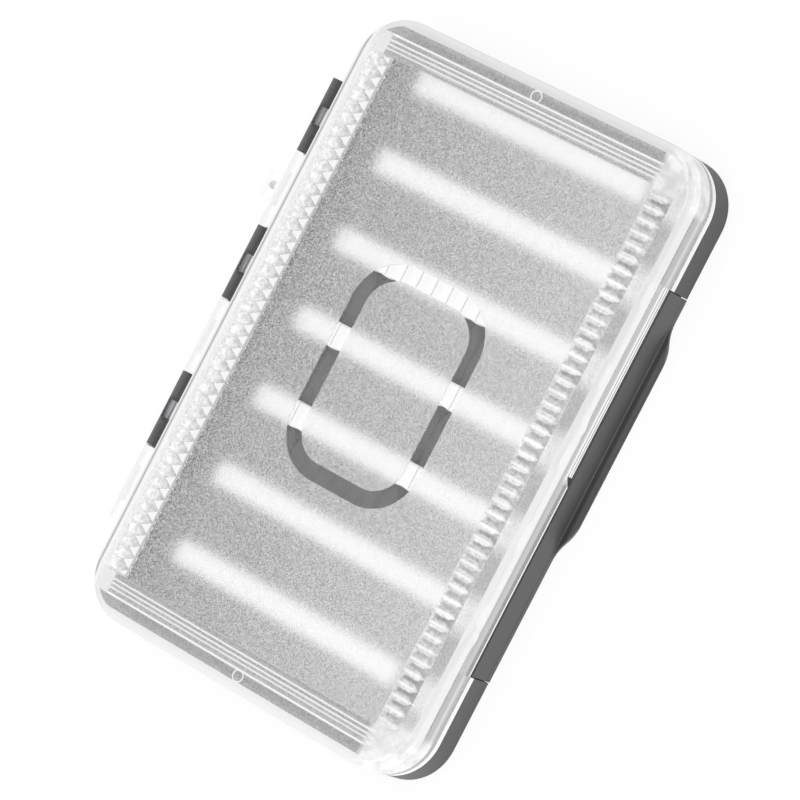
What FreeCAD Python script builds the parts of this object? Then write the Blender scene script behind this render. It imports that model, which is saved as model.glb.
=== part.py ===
import FreeCAD, Part
import math
import os

V = FreeCAD.Vector

# The case. Lengths are in millimetres. X runs along the case, the latch side
# faces -Y, the hinge side faces +Y, and the origin is the middle of the
# underside of the base.
case_length = 190.0
case_depth = 120.0
corner_radius = 15.0
base_height = 9.2
seam_gap = 0.15
deck_height = 21.1
wall = 2.0
front_wall = 5.6
floor_thickness = 1.8
base_edge_chamfer = 0.6
overrun = 1.0

# Rim tongue of the base, the rebate of the lid and the seal between them
tongue_width = 1.0
tongue_height = 1.2
tongue_gap = 0.1
seal_thickness = 0.8
seal_squeeze_gap = 0.1
seal_side_gap = 0.05

# Lid shoulder, deck and rim groove
shoulder_width = 2.95
shoulder_height = 1.9
lid_top_thickness = 1.5
inner_shoulder_width = 1.9
inner_shoulder_height = 1.4
rim_band_height = 2.2
rim_groove = 0.25

# Raised frame on the deck, with flutes on its long sides
field_offset = 0.8
frame_end_inset = 6.4
frame_side_inset = 5.9
frame_end_width = 6.0
frame_side_width = 7.7
frame_rise = 0.3
frame_outer_radius = 5.0
frame_inner_radius = 1.0
flute_count = 44
flute_end_inset = 8.4
flute_rise = 0.8
flute_margin = 0.2
front_flute_width = 2.7
front_flute_taper = 2.4
back_flute_width = 3.3
back_flute_taper = 3.4
tooth_reach = 3.6
tooth_rise = 0.35
tooth_root = 0.3
end_rib_count = 3
end_rib_pitch = 1.9
end_rib_radius = 0.75
end_rib_rise = 0.45
end_rib_overlap = 2.0

# Polished viewing band in the middle of the lid, and small round marks
band_length = 66.0
band_depth = 46.0
band_width = 5.0
band_radius = 15.0
band_recess = 0.2
mark_width = 0.35
mark_rise = 0.15
end_mark_radius = 1.9
end_mark_inset = 4.7
front_mark_radius = 3.4
front_mark_spread = 26.5
front_mark_inset = 7.8

# Thumb relief in the front shoulder of the lid
relief_centre = -17.0
relief_flat = 56.0
relief_ramp = 7.5
relief_bottom = 17.2

# Clear posts under the front corners of the lid
post_radius = 2.2
post_end_inset = 9.0
post_inset = 9.5
post_length = 8.0

# Rear hinge: three brackets on each half, in turn, round one pin
bracket_count = 6
bracket_length = 23.25
bracket_gap = 0.35
barrel_radius = 3.2
hinge_standoff = 6.1
hinge_pin_radius = 1.0
pin_fit = 0.05
hinge_blind_end = 1.1
window_length = 5.6
window_reach = 1.6
scoop_length = 10.6
scoop_radius = 3.0
scoop_skin = 0.9
scoop_share = 0.58
arm_depth = 3.2

# Lanyard tab on one bracket of the lid
tab_bracket = 1
tab_width = 7.8
tab_root_width = 11.6
tab_root_depth = 1.9
tab_reach = 2.8
tab_thickness = 3.0
tab_hole_radius = 1.3
tab_hole_inset = 2.4

# Front latch, its bay in the base, and its hinge in the lid
latch_length = 118.0
latch_end_gap = 0.3
latch_thickness = 2.0
latch_back_gap = 0.3
latch_bottom = 0.3
latch_top = 10.75
latch_ridge = 0.8
latch_ridge_height = 0.35
latch_face_step = 0.15
latch_band_top = 1.6
latch_pin_radius = 0.55
latch_pin_inset = 2.5
latch_pin_height = 12.8
latch_barrel_radius = 1.15
latch_neck_outer = 2.1
latch_neck_inner = 3.3
latch_web_bottom = 9.7
latch_barrel_gap = 0.2
latch_pin_seat = 2.2
bead_height = 1.2
bead_centre = 3.2
bead_reach = 0.15
catch_groove_depth = 0.6
catch_groove_play = 0.3

# Finger lip on the lower edge of the latch
lip_centre = 15.4
lip_flat = 49.0
lip_ramp = 12.3
lip_reach = 2.9
lip_height = 1.1

# Latch recess, hood and knuckle of the lid
recess_depth = 0.4
recess_top = 18.2
recess_corner = 2.5
hood_inner = 1.2
hood_left_edge = 11.4
hood_right_edge = 14.3
hood_step_run = 2.7
channel_inner = 3.8
channel_top = 17.0
knuckle_inset = 0.6
knuckle_bottom = 11.45

# Foam inside the base
pad_thickness = 2.0
pad_gap = 0.6
pad_groove_pitch = 5.5
pad_groove_width = 1.2
pad_groove_depth = 0.8
pad_seat = 0.02
strip_count = 7
strip_right_inset = 14.4
strip_left_inset = 25.6
strip_width = 7.7
strip_height = 5.0
strip_back_inset = 15.2
strip_front_inset = 9.5
short_strip_front_inset = 23.0
strip_slit_pitch = 5.5
strip_slit_width = 0.5
strip_slit_depth = 3.2
strip_edge_round = 1.0
scallop_depth = 0.7
strip_end_margin = 3.0

# Places worked out from the sizes above
front_y = -case_depth / 2
back_y = case_depth / 2
half_length = case_length / 2
lid_bottom = base_height + seam_gap
lid_underside = deck_height - lid_top_thickness
inner_x = half_length - wall
inner_front = front_y + front_wall
inner_back = back_y - wall
inner_radius = corner_radius - wall
tongue_top = base_height + tongue_height
seal_top = tongue_top + seal_thickness
rebate_top = seal_top + seal_squeeze_gap
frame_top = deck_height + frame_rise
case_height = frame_top + flute_rise
hinge_y = back_y + hinge_standoff
hinge_z = base_height + seam_gap / 2
bracket_pitch = bracket_length + bracket_gap
hinge_half_span = (bracket_count * bracket_pitch - bracket_gap) / 2
latch_half = latch_length / 2
bay_half = latch_half + latch_end_gap
latch_pin_y = front_y + latch_pin_inset
pad_top = floor_thickness + pad_thickness
strip_top = pad_top + strip_height
strip_first_x = half_length - strip_right_inset
strip_pitch = (case_length - strip_right_inset - strip_left_inset) / (strip_count - 1)
frame_half_length = half_length - frame_end_inset
frame_half_depth = case_depth / 2 - frame_side_inset
flute_pitch = 2 * (frame_half_length - flute_end_inset) / (flute_count - 1)


def box(x0, x1, y0, y1, z0, z1):
    """A plain block between six planes."""
    return Part.makeBox(x1 - x0, y1 - y0, z1 - z0, V(x0, y0, z0))


def corner_arc(start, middle, end):
    """A quarter circle through three points."""
    return Part.Arc(start, middle, end).toShape()


def rounded_outline(x0, x1, y0, y1, radius, z):
    """A rectangle with round corners, as a closed wire at height z."""
    cut = radius * (1 - math.sqrt(0.5))
    edges = [
        Part.makeLine(V(x0 + radius, y0, z), V(x1 - radius, y0, z)),
        corner_arc(V(x1 - radius, y0, z), V(x1 - cut, y0 + cut, z), V(x1, y0 + radius, z)),
        Part.makeLine(V(x1, y0 + radius, z), V(x1, y1 - radius, z)),
        corner_arc(V(x1, y1 - radius, z), V(x1 - cut, y1 - cut, z), V(x1 - radius, y1, z)),
        Part.makeLine(V(x1 - radius, y1, z), V(x0 + radius, y1, z)),
        corner_arc(V(x0 + radius, y1, z), V(x0 + cut, y1 - cut, z), V(x0, y1 - radius, z)),
        Part.makeLine(V(x0, y1 - radius, z), V(x0, y0 + radius, z)),
        corner_arc(V(x0, y0 + radius, z), V(x0 + cut, y0 + cut, z), V(x0 + radius, y0, z)),
    ]
    return Part.Wire(edges)


def plate(x0, x1, y0, y1, radius, z0, z1):
    """A slab with round corners, from z0 up to z1."""
    outline = rounded_outline(x0, x1, y0, y1, radius, z0)
    return Part.Face(outline).extrude(V(0, 0, z1 - z0))


def shouldered(x0, x1, y0, y1, radius, z0, z1, inset, drop):
    """A slab whose top edge slopes inwards by inset over a height of drop."""
    lower = plate(x0, x1, y0, y1, radius, z0, z1 - drop)
    foot = rounded_outline(x0, x1, y0, y1, radius, z1 - drop)
    head = rounded_outline(x0 + inset, x1 - inset, y0 + inset, y1 - inset, radius - inset, z1)
    return lower.fuse(Part.makeLoft([foot, head], True, True)).removeSplitter()


def rod(radius, x0, x1, y, z):
    """A round bar along X."""
    return Part.makeCylinder(radius, x1 - x0, V(x0, y, z), V(1, 0, 0))


def profile_bar(points, x0, x1):
    """A bar along X whose section is given by (y, z) points."""
    corners = [V(x0, y, z) for y, z in points]
    outline = Part.makePolygon(corners + corners[:1])
    return Part.Face(outline).extrude(V(x1 - x0, 0, 0))


def plan_block(points, z0, z1):
    """An upright block whose plan is given by (x, y) points."""
    corners = [V(x, y, z0) for x, y in points]
    outline = Part.makePolygon(corners + corners[:1])
    return Part.Face(outline).extrude(V(0, 0, z1 - z0))


def wall_block(points, y0, y1):
    """A block through a front wall whose face is given by (x, z) points."""
    corners = [V(x, y0, z) for x, z in points]
    outline = Part.makePolygon(corners + corners[:1])
    return Part.Face(outline).extrude(V(0, y1 - y0, 0))


def case_cavity(z0, z1, grow=0.0):
    """The inside of the case, grown sideways by a margin."""
    return plate(-inner_x - grow, inner_x + grow, inner_front - grow, inner_back + grow,
                 inner_radius + grow, z0, z1)


def bracket_x(index):
    """Middle of a hinge bracket, counted from the +X end."""
    return hinge_half_span - bracket_length / 2 - index * bracket_pitch


def bracket(index, side):
    """One hinge bracket; side is -1 on the base and +1 on the lid."""
    middle = bracket_x(index)
    x0 = middle - bracket_length / 2
    x1 = middle + bracket_length / 2
    barrel = rod(barrel_radius, x0, x1, hinge_y, hinge_z)
    arm_end = hinge_z + side * arm_depth
    arm = box(x0, x1, back_y - wall / 2, hinge_y, min(hinge_z, arm_end), max(hinge_z, arm_end))
    arm_near = box(x0, x1, back_y - wall, back_y, hinge_z - seam_gap, hinge_z + seam_gap)
    relief = window(middle) if side < 0 else scoop(middle)
    return barrel.fuse(arm.cut(arm_near)).cut(relief)


def window(middle):
    """The opening over the pin in the middle of a base bracket."""
    return box(middle - window_length / 2, middle + window_length / 2, hinge_y - barrel_radius - overrun,
               hinge_y + window_reach, hinge_z, hinge_z + barrel_radius + overrun)


def scoop(middle):
    """The hollow in the top of a lid bracket, which leaves a skin over the pin."""
    reach = hinge_pin_radius + scoop_skin + scoop_radius
    rise = reach * math.sqrt(1 - (1 - scoop_share) ** 2)
    return rod(scoop_radius, middle - scoop_length / 2, middle + scoop_length / 2,
               hinge_y - reach * (1 - scoop_share), hinge_z + rise)


def hinge_bore():
    """The hole for the hinge pin; it is blind in the last bracket."""
    return rod(hinge_pin_radius + pin_fit, -hinge_half_span + hinge_blind_end,
               hinge_half_span + overrun, hinge_y, hinge_z)


def latch_pin_bore():
    """The hole for the latch pin, running into the cheeks at both ends."""
    reach = bay_half + latch_pin_seat
    return rod(latch_pin_radius + pin_fit, -reach, reach, latch_pin_y, latch_pin_height)


def base_shell():
    """Dark lower half: tray, rim tongue, latch bay and three hinge brackets."""
    tray = plate(-half_length, half_length, front_y, back_y, corner_radius, 0, base_height)
    bottom_edges = [edge for edge in tray.Edges if edge.BoundBox.ZMax < base_edge_chamfer]
    tray = tray.makeChamfer(base_edge_chamfer, bottom_edges)
    tongue = case_cavity(base_height - overrun, tongue_top, tongue_width)
    tray = tray.fuse(tongue)
    for index in range(0, bracket_count, 2):
        tray = tray.fuse(bracket(index, -1))
    bay_back = front_y + latch_thickness + latch_back_gap
    bay = box(-bay_half, bay_half, front_y - overrun, bay_back, -overrun, base_height + overrun)
    groove_half = bead_height / 2 + catch_groove_play
    groove = box(-latch_half, latch_half, bay_back - overrun, bay_back + catch_groove_depth,
                 bead_centre - groove_half, bead_centre + groove_half)
    cavity = case_cavity(floor_thickness, tongue_top + overrun)
    return tray.cut([cavity, bay, groove, hinge_bore()]).removeSplitter()


def flute(x, y_near, y_far, width, taper):
    """One rounded flute across the frame, tapered to the front and round at the back."""
    radius = (width ** 2 / 4 + flute_rise ** 2) / (2 * flute_rise)
    centre_z = frame_top + flute_rise - radius
    start = y_near + taper
    stop = y_far - width / 2
    cone_length = taper * radius / flute_rise
    body = Part.makeCylinder(radius, stop - start, V(x, start, centre_z), V(0, 1, 0))
    near_end = Part.makeCone(radius, 0, cone_length, V(x, start, centre_z), V(0, -1, 0))
    far_end = Part.makeSphere(radius, V(x, stop, centre_z))
    whole = body.fuse([near_end, far_end])
    keep = box(x - radius, x + radius, y_near - radius, y_far + radius,
               frame_top - frame_rise / 2, case_height + overrun)
    return whole.common(keep)


def flute_row(y_near, y_far, width, taper):
    """The flutes of one long side."""
    first = -(flute_count - 1) * flute_pitch / 2
    return [flute(first + index * flute_pitch, y_near, y_far, width, taper) for index in range(flute_count)]


def tooth_band(y_near):
    """The low row of teeth that stands between the tapered ends of the back flutes."""
    first = -flute_count * flute_pitch / 2
    points = [(first, y_near - tooth_root), (-first, y_near - tooth_root), (-first, y_near + tooth_reach)]
    for index in range(flute_count - 1, -1, -1):
        points.append((first + (index + 1 / 2) * flute_pitch, y_near))
        points.append((first + index * flute_pitch, y_near + tooth_reach))
    return plan_block(points, frame_top - frame_rise / 2, frame_top + tooth_rise)


def raised_frame():
    """The low frame on the deck, ribbed along its short ends."""
    outer = plate(-frame_half_length, frame_half_length, field_offset - frame_half_depth,
                  field_offset + frame_half_depth, frame_outer_radius, deck_height - lid_top_thickness / 2,
                  frame_top)
    inner_length = frame_half_length - frame_end_width
    inner_depth = frame_half_depth - frame_side_width
    inner = plate(-inner_length, inner_length, field_offset - inner_depth, field_offset + inner_depth,
                  frame_inner_radius, deck_height, frame_top + overrun)
    frame = outer.cut(inner)
    middle = frame_half_length - frame_end_width / 2
    for side in (-1, 1):
        for index in range(end_rib_count):
            x = side * (middle + (index - (end_rib_count - 1) / 2) * end_rib_pitch)
            start = field_offset - inner_depth - end_rib_overlap
            length = 2 * (inner_depth + end_rib_overlap)
            axis_z = frame_top + end_rib_rise - end_rib_radius
            frame = frame.fuse(Part.makeCylinder(end_rib_radius, length, V(x, start, axis_z), V(0, 1, 0)))
    return frame


def round_mark(x, y, radius):
    """A thin raised ring on the deck."""
    root = lid_top_thickness / 2
    outer = Part.makeCylinder(radius, mark_rise + root, V(x, y, deck_height - root))
    inner = Part.makeCylinder(radius - mark_width, mark_rise + overrun, V(x, y, deck_height))
    return outer.cut(inner)


def deck_marks():
    """Half-round marks beside the frame."""
    end_x = half_length - end_mark_inset
    marks = [round_mark(side * end_x, 0, end_mark_radius) for side in (-1, 1)]
    mark_y = front_y + front_mark_inset
    marks += [round_mark(side * front_mark_spread, mark_y, front_mark_radius) for side in (-1, 1)]
    return marks


def viewing_band():
    """The shallow polished band let into the middle of the lid."""
    half_x = band_length / 2
    half_y = band_depth / 2
    floor_z = deck_height - band_recess
    outer = plate(-half_x, half_x, field_offset - half_y, field_offset + half_y, band_radius,
                  floor_z, deck_height + overrun)
    inner = plate(-half_x + band_width, half_x - band_width, field_offset - half_y + band_width,
                  field_offset + half_y - band_width, band_radius - band_width,
                  floor_z - overrun, deck_height + 2 * overrun)
    return outer.cut(inner)


def latch_channel():
    """The space in the front of the lid where the latch barrel turns."""
    return box(-bay_half, bay_half, front_y + hood_inner, front_y + channel_inner,
               lid_bottom - overrun, channel_top)


def hood_cut():
    """What the front wall of the lid leaves open: low on the left, high on the right."""
    half_run = hood_step_run / 2
    low = lid_bottom - overrun
    points = [(-bay_half, low), (bay_half, low), (bay_half, hood_right_edge), (half_run, hood_right_edge),
              (-half_run, hood_left_edge), (-bay_half, hood_left_edge)]
    return wall_block(points, front_y - overrun, front_y + hood_inner + overrun / 2)


def front_recess():
    """The shallow recess in the face of the lid above the latch."""
    low = lid_bottom - overrun
    points = [(-bay_half, low), (bay_half, low), (bay_half, recess_top - recess_corner),
              (bay_half - recess_corner, recess_top), (recess_corner - bay_half, recess_top),
              (-bay_half, recess_top - recess_corner)]
    return wall_block(points, front_y - overrun, front_y + recess_depth)


def thumb_relief():
    """The steeper facet in the front shoulder, fading out at both ends."""
    top_y = front_y + shoulder_width
    regular = deck_height - shoulder_height
    ends = [(relief_flat / 2 + relief_ramp, regular), (relief_flat / 2, relief_bottom)]
    stations = [(-half, low) for half, low in ends] + [(half, low) for half, low in ends[::-1]]
    sections = []
    for half, low in stations:
        x = relief_centre + half
        slope = (deck_height - low) / shoulder_width
        corners = [V(x, top_y, deck_height), V(x, front_y - overrun, low - overrun * slope),
                   V(x, front_y - overrun, deck_height + overrun), V(x, top_y, deck_height + overrun)]
        sections.append(Part.makePolygon(corners + corners[:1]))
    return Part.makeLoft(sections, True, True)


def latch_knuckle():
    """The clear knuckle of the lid that holds the right half of the latch pin."""
    return box(latch_barrel_gap + hood_step_run / 2, bay_half, front_y + knuckle_inset,
               front_y + channel_inner + wall / 2, knuckle_bottom, hood_right_edge + hood_inner)


def rim_groove_cut():
    """The fine groove round the lid above its rim band."""
    mid = lid_bottom + rim_band_height
    outer = plate(-half_length - overrun, half_length + overrun, front_y - overrun, back_y + overrun,
                  corner_radius + overrun, mid, mid + rim_groove)
    inner = plate(-half_length + rim_groove, half_length - rim_groove, front_y + rim_groove,
                  back_y - rim_groove, corner_radius - rim_groove, mid - overrun, mid + overrun)
    return outer.cut(inner)


def lanyard_tab():
    """The eye that stands out behind one lid bracket."""
    middle = bracket_x(tab_bracket)
    root_y = hinge_y + barrel_radius - tab_root_depth
    shoulder_y = hinge_y + barrel_radius
    tip_y = shoulder_y + tab_reach
    points = [(middle - tab_root_width / 2, root_y), (middle + tab_root_width / 2, root_y),
              (middle + tab_width / 2, shoulder_y), (middle + tab_width / 2, tip_y),
              (middle - tab_width / 2, tip_y), (middle - tab_width / 2, shoulder_y)]
    tab = plan_block(points, hinge_z, hinge_z + tab_thickness)
    eye = Part.makeCylinder(tab_hole_radius, tab_thickness + 2 * overrun,
                            V(middle, tip_y - tab_hole_inset, hinge_z - overrun))
    return tab.cut(eye)


def lid_shell():
    """Clear upper half with its frame, flutes, latch housing and hinge brackets."""
    shell = shouldered(-half_length, half_length, front_y, back_y, corner_radius, lid_bottom,
                       deck_height, shoulder_width, shoulder_height)
    cavity = shouldered(-inner_x, inner_x, inner_front, inner_back, inner_radius, lid_bottom - overrun,
                        lid_underside, inner_shoulder_width, inner_shoulder_height)
    rebate = case_cavity(lid_bottom - overrun, rebate_top, tongue_width + tongue_gap)
    shell = shell.cut([cavity, rebate, latch_channel(), hood_cut(), front_recess(), thumb_relief(),
                       rim_groove_cut()])
    additions = [raised_frame(), latch_knuckle(), lanyard_tab()]
    for index in range(1, bracket_count, 2):
        additions.append(bracket(index, 1))
    for side in (-1, 1):
        foot = V(side * (half_length - post_end_inset), front_y + post_inset, lid_underside - post_length)
        additions.append(Part.makeCylinder(post_radius, post_length + lid_top_thickness / 2, foot))
    shell = shell.fuse(additions)
    side_outer = frame_half_depth - flute_margin
    side_inner = frame_half_depth - frame_side_width + flute_margin
    flutes = flute_row(field_offset - side_outer, field_offset - side_inner, front_flute_width,
                       front_flute_taper)
    flutes += flute_row(field_offset + side_inner, field_offset + side_outer, back_flute_width,
                        back_flute_taper)
    flutes.append(tooth_band(field_offset + side_inner))
    shell = shell.fuse(deck_marks() + flutes)
    return shell.cut([viewing_band(), hinge_bore(), latch_pin_bore()]).removeSplitter()


def hinge_pin():
    """Steel pin of the rear hinge."""
    return rod(hinge_pin_radius, -hinge_half_span + hinge_blind_end + pin_fit, hinge_half_span,
               hinge_y, hinge_z)


def latch_pin():
    """Steel pin of the latch."""
    reach = bay_half + latch_pin_seat - pin_fit
    return rod(latch_pin_radius, -reach, reach, latch_pin_y, latch_pin_height)


def lip_curve(x, side, reach):
    """The S-shaped ramp from the face of the latch out to the finger lip."""
    half = lip_ramp / 2
    radius = (lip_ramp ** 2 + reach ** 2) / (4 * reach)
    turn = 2 * math.atan(reach / lip_ramp)
    quarter_x = radius * math.sin(turn / 2)
    quarter_y = radius * (1 - math.cos(turn / 2))
    root = V(x, front_y, latch_bottom)
    first = V(x + side * quarter_x, front_y - quarter_y, latch_bottom)
    middle = V(x + side * half, front_y - reach / 2, latch_bottom)
    second = V(x + side * (lip_ramp - quarter_x), front_y - reach + quarter_y, latch_bottom)
    tip = V(x + side * lip_ramp, front_y - reach, latch_bottom)
    return [Part.Arc(root, first, middle).toShape(), Part.Arc(middle, second, tip).toShape()]


def finger_lip():
    """The lip along the lower edge of the latch that a fingertip pulls."""
    start = lip_centre - lip_flat / 2 - lip_ramp
    stop = lip_centre + lip_flat / 2 + lip_ramp
    back = front_y + latch_thickness / 2
    front = front_y - lip_reach
    edges = [Part.makeLine(V(start, back, latch_bottom), V(start, front_y, latch_bottom))]
    edges += lip_curve(start, 1, lip_reach)
    edges += [Part.makeLine(V(start + lip_ramp, front, latch_bottom),
                            V(stop - lip_ramp, front, latch_bottom))]
    edges += lip_curve(stop, -1, lip_reach)[::-1]
    edges += [Part.makeLine(V(stop, front_y, latch_bottom), V(stop, back, latch_bottom)),
              Part.makeLine(V(stop, back, latch_bottom), V(start, back, latch_bottom))]
    outline = Part.Wire(Part.__sortEdges__(edges))
    return Part.Face(outline).extrude(V(0, 0, lip_height))


def front_latch():
    """Dark latch bar with its barrel, snap bead and finger lip."""
    face = front_y + latch_face_step
    ridge_back = front_y + latch_ridge
    back = front_y + latch_thickness
    ridge_foot = latch_top - latch_ridge_height
    bar = profile_bar([(front_y, latch_bottom), (front_y, latch_band_top), (face, latch_band_top),
                       (face, latch_top), (ridge_back, latch_top), (ridge_back, ridge_foot),
                       (back, ridge_foot), (back, latch_bottom)], -latch_half, latch_half)
    barrel_end = -latch_barrel_gap - hood_step_run / 2
    barrel = rod(latch_barrel_radius, -latch_half, barrel_end, latch_pin_y, latch_pin_height)
    neck = profile_bar([(ridge_back, latch_web_bottom), (ridge_back, ridge_foot),
                        (front_y + latch_neck_outer, ridge_foot),
                        (front_y + latch_neck_outer, latch_pin_height),
                        (front_y + latch_neck_inner, latch_pin_height),
                        (front_y + latch_neck_inner, latch_web_bottom)], -latch_half, barrel_end)
    bead_half = bead_height / 2
    bead = profile_bar([(back - overrun, bead_centre - bead_half), (back, bead_centre - bead_half),
                        (back + bead_reach, bead_centre), (back, bead_centre + bead_half),
                        (back - overrun, bead_centre + bead_half)], -latch_half, latch_half)
    latch = bar.fuse([barrel, neck, bead, finger_lip()])
    bore = rod(latch_pin_radius + pin_fit, -latch_half - overrun, barrel_end + overrun, latch_pin_y,
               latch_pin_height)
    return latch.cut(bore).removeSplitter()


def rim_seal():
    """Soft seal lying on the tongue of the base."""
    outer = case_cavity(tongue_top, seal_top, tongue_width - seal_side_gap)
    inner = case_cavity(tongue_top - overrun, seal_top + overrun, seal_side_gap)
    return outer.cut(inner)


def foam_pad():
    """Dark foam sheet on the floor of the base, scored across in rows."""
    margin = -pad_gap
    pad = case_cavity(floor_thickness, pad_top, margin)
    half_depth = (inner_back - inner_front) / 2
    middle = (inner_back + inner_front) / 2
    rows = int(half_depth / pad_groove_pitch)
    grooves = []
    for row in range(-rows, rows + 1):
        y = middle + row * pad_groove_pitch
        grooves.append(profile_bar([(y - pad_groove_width / 2, pad_top), (y, pad_top - pad_groove_depth),
                                    (y + pad_groove_width / 2, pad_top)], -half_length, half_length))
    return pad.cut(grooves)


def foam_strip(index):
    """One white foam strip, slit across its length."""
    x = strip_first_x - index * strip_pitch
    is_short = index in (0, strip_count - 1)
    inset = short_strip_front_inset if is_short else strip_front_inset
    y0 = front_y + inset
    y1 = back_y - strip_back_inset
    half = strip_width / 2
    strip = box(x - half, x + half, y0, y1, pad_top + pad_seat, strip_top)
    top_edges = [edge for edge in strip.Edges
                 if edge.BoundBox.ZMin > pad_top + strip_height / 2 and edge.BoundBox.YLength > strip_width]
    strip = strip.makeFillet(strip_edge_round, top_edges)
    cuts = []
    count = int((y1 - y0 - 2 * strip_end_margin) / strip_slit_pitch)
    first = (y0 + y1 - count * strip_slit_pitch) / 2
    for number in range(count + 1):
        y = first + number * strip_slit_pitch
        cuts.append(box(x - half - overrun, x + half + overrun, y - strip_slit_width / 2,
                        y + strip_slit_width / 2, strip_top - strip_slit_depth, strip_top + overrun))
    scallop_radius = (strip_slit_pitch ** 2 / 4 + scallop_depth ** 2) / (2 * scallop_depth)
    for number in range(count):
        y = first + (number + 1 / 2) * strip_slit_pitch
        cuts.append(Part.makeCylinder(scallop_radius, strip_height + overrun,
                                      V(x - half + scallop_depth - scallop_radius, y, pad_top)))
    return strip.cut(cuts)


def export(shape, name):
    """Write one solid piece as a STEP file."""
    solid = shape.Solids[0] if len(shape.Solids) == 1 else shape
    print(name, "solids", len(shape.Solids), "volume", round(shape.Volume, 1), "valid", shape.isValid())
    solid.exportStep("parts/" + name + ".step")


def main():
    os.makedirs("parts", exist_ok=True)
    export(base_shell(), "base_shell")
    export(lid_shell(), "lid_shell")
    export(hinge_pin(), "hinge_pin")
    export(front_latch(), "front_latch")
    export(latch_pin(), "latch_pin")
    export(rim_seal(), "rim_seal")
    export(foam_pad(), "foam_pad")
    for index in range(strip_count):
        export(foam_strip(index), "foam_strip_" + str(index + 1))


main()
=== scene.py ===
import math

import bmesh
import bpy
from mathutils import Matrix, Vector


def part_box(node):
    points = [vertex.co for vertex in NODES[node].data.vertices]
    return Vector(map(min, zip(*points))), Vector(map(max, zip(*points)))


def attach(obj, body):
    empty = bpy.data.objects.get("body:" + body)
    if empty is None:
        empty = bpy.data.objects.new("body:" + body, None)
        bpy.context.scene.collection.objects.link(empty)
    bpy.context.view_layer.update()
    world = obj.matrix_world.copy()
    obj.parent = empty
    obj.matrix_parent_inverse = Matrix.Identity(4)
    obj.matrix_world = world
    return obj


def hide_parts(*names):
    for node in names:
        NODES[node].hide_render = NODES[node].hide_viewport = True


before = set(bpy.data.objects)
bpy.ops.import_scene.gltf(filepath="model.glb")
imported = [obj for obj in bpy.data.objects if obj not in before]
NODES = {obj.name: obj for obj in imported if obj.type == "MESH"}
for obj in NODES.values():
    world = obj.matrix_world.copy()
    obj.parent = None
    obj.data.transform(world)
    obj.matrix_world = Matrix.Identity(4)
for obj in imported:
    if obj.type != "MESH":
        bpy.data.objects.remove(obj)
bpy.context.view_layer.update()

MM = 0.001

# Places that the part's source also names, in millimetres
FIELD_OFFSET = 0.8
PANEL_HALF_X = 82.6
PANEL_HALF_Y = 46.4
DECK = 21.1
STRIP_COUNT = 7
STRIP_FIRST = 80.6
STRIP_PITCH = 25.0
STRIP_WIDTH = 7.7
ROW_PITCH = 5.5
FLUTE_PITCH = 3.7302
FLUTE_FRONT = -53.1
FLUTE_BACK = 54.7
FLUTE_HALF_X = 82.0
GATE_PLACE = 90.3
LATCH_HALF_X = 59.3

# Foam, in millimetres
STRIP_MARGIN = 3.0
STRIP_BULGE = 0.4
STRIP_CROWN = 0.35
STRIP_END_CROWN = 0.2
STRIP_END_ROUND = 1.2
STRIP_EDGE_ROUND = 1.0
SLIT_WIDTH = 0.45
SLIT_DEPTH = 3.2
SHEET_CORNER = 12.4
SHEET_RISE = 1.0
SHEET_TAPER = 5.0


# Node helpers

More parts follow.
